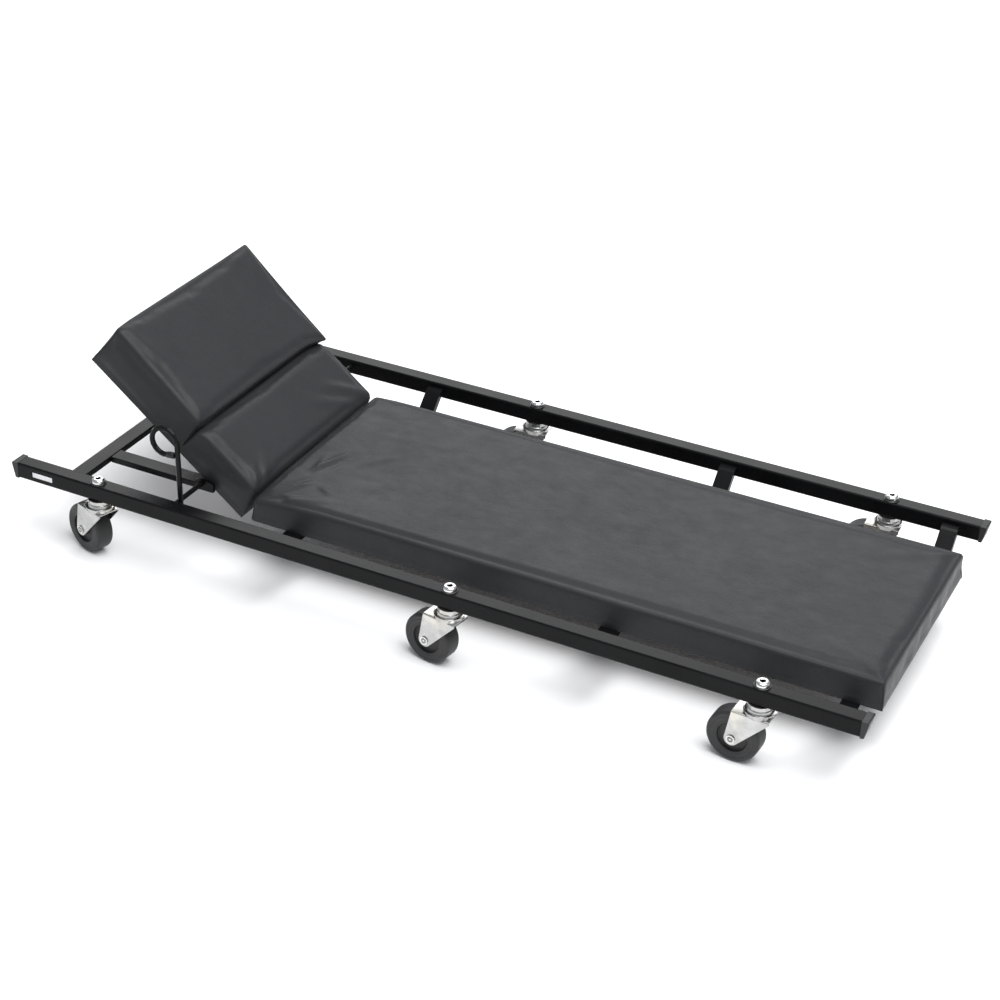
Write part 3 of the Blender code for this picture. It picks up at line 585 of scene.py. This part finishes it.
def make_headrest_pads():
    points = local_points("headrest_cover")
    low, high = Vector(points.min(0)), Vector(points.max(0))
    neck_top = points[points[:, 0] > CREASE_X + 0.01][:, 2].max()
    beside = points[(points[:, 0] < CREASE_X - 0.003) & (points[:, 0] > CREASE_X - 0.02)]
    crease_top = beside[:, 2].max()
    half = high.y

    # neck roll: crisp against the head pad, softly rounded toward the bed
    start = (CREASE_X + 0.0002, -half + 0.0008, low.z)
    end = (high.x - 0.0002, half - 0.0008, neck_top - 0.0008)

    def neck_radii(x, y, z):
        foot = min(1.0, max(0.0, (x - start[0]) / (end[0] - start[0])))
        sides = min(1.0, max(0.0, (abs(y) / half - 0.8) / 0.15))
        return 0.0025 + 0.0065 * max(foot ** 2, 0.85 * sides)

    neck = pad_blank("neck_pad", start, end, neck_radii, 0.0046)
    inflate(neck, 0.0022, lambda co: co[:, 2] < low.z + 0.010)
    co = coordinates(neck.data)
    tall = neck_top - low.z
    level = np.clip((co[:, 2] - low.z) / tall, 0, 1)
    up = np.clip((level - 0.6) / 0.4, 0, 1)
    foot = np.clip((co[:, 0] - CREASE_X) / (high.x - CREASE_X), 0, 1)
    co[:, 0] += 0.0070 * (1 - level) * np.clip((foot - 0.5) / 0.5, 0, 1)
    co[:, 2] -= 0.0070 * up * np.clip(1 - (co[:, 0] - CREASE_X) / 0.020, 0, 1) ** 2
    near = np.clip((-co[:, 1] / half - 0.86) / 0.14, 0, 1)
    co[:, 2] -= 0.0035 * near * up * foot ** 4
    co[:, 2] += ridged(co, up, NECK_RIDGES)
    hem(co, start, (end[0] + 0.007, end[1], end[2]), low.z)
    set_coordinates(neck.data, co)
    finish_pad(neck, "headrest", HEADREST, ["headrest_cover", "headrest_foam"])
    for tag, y in (("near", -half), ("far", half)):
        upright_seam(f"neck_seam_{tag}", neck, "headrest", HEADREST, end[0], y, low.z,
                     neck_top - 0.004)

    # head pad: thicker toward the head end
    start = (low.x + 0.0002, -half + 0.0008, low.z)
    end = (CREASE_X - 0.0002, half - 0.0008, high.z - 0.0008)

    def head_radii(x, y, z):
        return 0.0045 + 0.0040 * min(1.0, max(0.0, (-y / half - 0.8) / 0.15))

    head = pad_blank("head_pad", start, end, head_radii, 0.0046)
    inflate(head, 0.0020, lambda co: co[:, 2] < low.z + 0.010)
    co = coordinates(head.data)
    tall = high.z - low.z
    level = np.clip((co[:, 2] - low.z) / tall, 0, 1)
    toward_foot = np.clip((co[:, 0] - low.x) / (CREASE_X - low.x), 0, 1)
    co[:, 2] -= (high.z - crease_top) * toward_foot * level
    # the head-end edge and the far crease corner are pulled out a little
    co[:, 0] -= 0.0030 * level ** 2 * (1 - toward_foot) ** 6
    far = np.clip((co[:, 1] / half - 0.6) / 0.4, 0, 1)
    co[:, 0] += 0.0140 * far ** 2 * level ** 3 * toward_foot ** 6
    co[:, 2] += 0.0035 * far * level * (1 - toward_foot) ** 2
    up = np.clip((level - 0.6) / 0.4, 0, 1)
    co[:, 2] += ridged(co, up, HEAD_RIDGES)
    hem(co, start, end, low.z)
    set_coordinates(head.data, co)
    finish_pad(head, "headrest", HEADREST, [])
    for tag, y in (("near", -half), ("far", half)):
        upright_seam(f"head_seam_{tag}", head, "headrest", HEADREST, low.x, y, low.z,
                     high.z - 0.003)


def make_seam(name, pad, body, matrix, points):
    """A stitched welt laid on a pad's surface, near the given points of its own frame."""
    path = []
    for point in points:
        _, place, normal, _ = pad.closest_point_on_mesh(matrix @ Vector(point))
        path.append(place + normal * 0.0001)
    welt = mesh_object(name, tube(path, [SEAM_RADIUS] * len(path), 8), VINYL, 60)
    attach(welt, body)


def upright_seam(name, pad, body, matrix, x, y, low, high):
    """A seam down one upright corner of a pad."""
    side = math.copysign(SEAM_REACH, y)
    end = math.copysign(SEAM_REACH, x - INSIDE_X[body])
    points = [(x + end, y + side, low + (high - low) * i / 14) for i in range(15)]
    make_seam(name, pad, body, matrix, points)


def make_label():
    """A blank sticker near the head end of the near rail's outer side."""
    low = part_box("near_rail")[0]
    bm = box_mesh((low.x + 0.020, low.y - 0.00018, RAIL_TOP - 0.0125),
                  (low.x + 0.047, low.y - 0.00002, RAIL_TOP - 0.0065), 0.00005)
    label = mesh_object("blank_label", bm, LABEL, 30)
    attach(label, "frame")


# ---------------------------------------------------------------- casters
def wheel_profile(half, radius, bore):
    """Half a wheel's outline, from the bore over the side face to the middle of the tread."""
    recess, deep = 0.0170, 0.0042
    side = [(bore, half - 0.0004), (bore + 0.0004, half), (0.0066, half), (0.0072, half - 0.0006),
            (0.0078, half - deep + 0.0008), (0.0086, half - deep), (recess - 0.0018, half - deep),
            (recess - 0.0008, half - deep + 0.0008), (recess - 0.0002, half - 0.0007),
            (recess + 0.0006, half - 0.0001), (0.0190, half), (0.0194, half - 0.00025),
            (0.0198, half), (0.0232, half), (0.0236, half - 0.00030), (0.0240, half - 0.00005)]
    shoulder = 0.0038
    for i in range(1, 9):
        angle = math.radians(90 - 90 * i / 9)
        side.append((radius - shoulder + shoulder * math.cos(angle),
                     half - shoulder + shoulder * math.sin(angle)))
    return side + [(radius, half * 0.5), (radius, 0.0)]


def make_wheel(number):
    joint = joints[f"wheel_spin_{number}"]
    low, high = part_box(f"wheel_{number}")
    radius = (high.z - low.z) / 2
    outline = wheel_profile(WHEEL_HALF_WIDTH, radius, WHEEL_BORE)
    mirrored = [(r, -h) for r, h in reversed(outline[:-1])]
    bm = revolve(outline + mirrored, 72, closed=True)
    place = along_axis(joint["pos_m"], Vector(joint["axis"]))
    wheel = mesh_object(f"wheel_tread_{number}", bm, WHEEL, 35, place)
    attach(wheel, f"wheel_body_{number}")
    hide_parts(f"wheel_{number}")


def make_bolt(number):
    """Button head with a hex socket whose pit is painted dark as shade, on a washer whose dark colour is painted
    shade under the head.
    """
    low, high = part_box(f"caster_bolt_{number}")
    x, y = middle_xy(low, high)
    base = RAIL_TOP + 0.0003
    top = high.z
    radius = 0.0077
    washer = revolve([(0.0042, base), (0.0088, base), (0.0091, base + 0.0002),
                      (0.0091, base + 0.0006), (0.0088, base + 0.0008), (0.0042, base + 0.0008)],
                     40, closed=True)
    bmesh.ops.translate(washer, verts=washer.verts, vec=(x, y, 0))
    # the washer is a real part; its near-black colour is painted shade under the bolt head
    plate = mesh_object(f"bolt_washer_{number}", washer, PAINTED_SHADE_STEEL, 30)
    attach(plate, "frame")
    outline = [(0.0, low.z), (0.0046, low.z), (0.0065, low.z + 0.0012), (0.0065, low.z + 0.0024),
               (0.0040, low.z + 0.0025), (0.0040, base + 0.0009), (radius, base + 0.0009),
               (radius + 0.0002, base + 0.0014), (radius, base + 0.0022)]
    rise = top - base - 0.0022
    for i in range(1, 9):
        angle = math.radians(90 * i / 9)
        outline.append((radius * (0.6 + 0.4 * math.cos(angle)),
                        base + 0.0022 + rise * math.sin(angle)))
    outline += [(radius * 0.6, top), (0.0034, top), (0.0030, top - 0.0004)]
    bm = revolve(outline, 48)
    hexagon = []
    rim = [v for v in bm.verts if abs(v.co.z - (top - 0.0004)) < 1e-6]
    rim.sort(key=lambda v: math.atan2(v.co.y, v.co.x))
    for v in rim:
        angle = math.atan2(v.co.y, v.co.x) % (math.pi / 3) - math.pi / 6
        flat = SOCKET_HALF / math.cos(angle)
        direction = Vector((v.co.x, v.co.y, 0)).normalized()
        hexagon.append(bm.verts.new(direction * flat + Vector((0, 0, top - 0.0005))))
    count = len(rim)
    for i in range(count):
        j = (i + 1) % count
        bm.faces.new((rim[i], rim[j], hexagon[j], hexagon[i]))
    bottom = [bm.verts.new(v.co - Vector((0, 0, SOCKET_DEPTH))) for v in hexagon]
    for i in range(count):
        j = (i + 1) % count
        bm.faces.new((hexagon[i], hexagon[j], bottom[j], bottom[i]))
    bm.faces.new(bottom)
    bmesh.ops.translate(bm, verts=bm.verts, vec=(x, y, 0))
    bolt = mesh_object(f"bolt_{number}", bm, BRIGHT, 40)
    # the socket's pit and its lip get the near-black steel: painted shade in the recess
    bolt.data.materials.append(PAINTED_SHADE_STEEL)
    for face in bolt.data.polygons:
        from_axis = math.hypot(face.center.x - x, face.center.y - y)
        if from_axis < 0.0029 and face.center.z > top - 0.004:
            face.material_index = 1
    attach(bolt, "frame")
    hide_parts(f"caster_bolt_{number}")


def make_cup(number):
    """Pressed ball race with a rolled edge."""
    low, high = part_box(f"bearing_cup_{number}")
    x, y = middle_xy(low, high)
    radius, tall = (high.x - low.x) / 2, high.z - low.z
    outline = [(0.0045, low.z), (radius * 0.86, low.z)]
    for r, h in ((0.94, 0.05), (0.985, 0.16), (1.0, 0.30), (0.995, 0.44), (0.965, 0.56),
                 (0.935, 0.64), (0.925, 0.72), (0.915, 0.82), (0.88, 0.92), (0.82, 1.0)):
        outline.append((radius * r, low.z + tall * h))
    outline.append((0.0045, high.z))
    bm = revolve(outline, 56, closed=True)
    bmesh.ops.translate(bm, verts=bm.verts, vec=(x, y, 0))
    cup = mesh_object(f"ball_race_{number}", bm, ZINC, 40)
    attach(cup, "frame")
    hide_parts(f"bearing_cup_{number}")


def make_rivet_ends(number):
    """Peened ends of the axle, each with a ring and a dimple."""
    joint = joints[f"wheel_spin_{number}"]
    centre, axis = Vector(joint["pos_m"]), Vector(joint["axis"])
    reach = max(abs((Vector(p) - centre).dot(axis))
                for p in coordinates(nodes[f"wheel_axle_{number}"].data))
    for tag, side in (("a", 1), ("b", -1)):
        out = axis * side
        ring = [(0.0, -0.0002), (0.0011, -0.0001), (0.0015, 0.0002), (0.0019, 0.00045),
                (0.0024, 0.0005), (0.0029, 0.0004), (0.0033, 0.0), (0.0035, -0.0006)]
        bm = revolve([(r, h + 0.0001) for r, h in ring] + [(0.0, -0.0010)], 32)
        place = along_axis(centre + out * reach, out)
        end = mesh_object(f"axle_end_{number}{tag}", bm, DARK_ZINC, 50, place)
        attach(end, f"fork_{number}")


def make_lever_tip():
    """A dipped rubber tip on the open end of the lever's loop."""
    tilt = Vector(joints["headrest_tilt"]["pos_m"])
    lever = coordinates(nodes["tilt_lever"].data)
    leg = lever[lever[:, 2] > tilt.z + 0.03]
    y = (leg[:, 1].min() + leg[:, 1].max()) / 2
    low_end = leg[leg[:, 2] < tilt.z + 0.0635]
    tip_x = max(p[0] for p in low_end if p[0] < tilt.x + 0.0012)
    around = low_end[np.abs(low_end[:, 0] - tip_x) < 0.0012]
    tip = Vector((tip_x, y, (around[:, 2].min() + around[:, 2].max()) / 2))
    back = Vector((-0.991, 0, -0.132))
    path = [tip + back * d for d in (-0.0009, -0.0006, 0.0, 0.0040, 0.0084, 0.0090)]
    bm = tube(path, (0.0022, 0.0031, 0.0037, 0.0038, 0.0036, 0.0031), 14)
    cap = mesh_object("lever_tip", bm, PLASTIC, 50)
    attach(cap, "headrest")


# ---------------------------------------------------------------- the stage
def make_stage():
    bm = bmesh.new()
    bmesh.ops.create_grid(bm, x_segments=1, y_segments=1, size=9.0)
    bmesh.ops.translate(bm, verts=bm.verts, vec=(0, 0, FLOOR_Z - 0.0004))
    floor = mesh_object("studio_floor", bm, floor_material())

    world = bpy.data.worlds.new("studio")
    scene.world = world
    world.use_nodes = True
    background = world.node_tree.nodes["Background"]
    background.inputs["Color"].default_value = (0.93, 0.95, 1.0, 1.0)
    background.inputs["Strength"].default_value = 0.50

    def softbox(name, position, target, size, power):
        light = bpy.data.lights.new(name, "AREA")
        light.shape = "RECTANGLE"
        light.size, light.size_y = size
        light.energy = power
        lamp = link(bpy.data.objects.new(name, light))
        lamp.location = position
        toward = Vector(target) - Vector(position)
        lamp.rotation_euler = toward.to_track_quat("-Z", "Y").to_euler()

    softbox("overhead", (0.9, -0.35, 2.8), (0.1, 0, 0), (2.6, 2.4), 125)
    softbox("behind", (-1.35, 3.0, 2.15), (0, 0, 0.05), (3.2, 1.5), 50)


def make_camera():
    azimuth, elevation, roll = (math.radians(a) for a in CAMERA_ANGLES)
    forward = Vector((-math.sin(azimuth) * math.cos(elevation),
                      math.cos(azimuth) * math.cos(elevation), -math.sin(elevation)))
    level = Vector((math.cos(azimuth), math.sin(azimuth), 0))
    up = level.cross(forward)
    right = math.cos(roll) * level + math.sin(roll) * up
    up = math.cos(roll) * up - math.sin(roll) * level
    camera = bpy.data.cameras.new("camera")
    camera.sensor_width = CAMERA_SENSOR
    camera.lens = CAMERA_LENS
    obj = link(bpy.data.objects.new("camera", camera))
    turn = Matrix((right, up, -forward)).transposed()
    x, y, height = CAMERA_PLACE
    obj.matrix_world = Matrix.Translation((x, y, height + RAIL_TOP)) @ turn.to_4x4()
    scene.camera = obj


scene.view_settings.view_transform = "Standard"
make_camera()
make_stage()
dress_cad_nodes()
make_bed_pad()
make_headrest_pads()
make_label()
for number in CASTERS:
    make_wheel(number)
    make_bolt(number)
    make_cup(number)
    make_rivet_ends(number)
make_lever_tip()

bpy.context.view_layer.update()
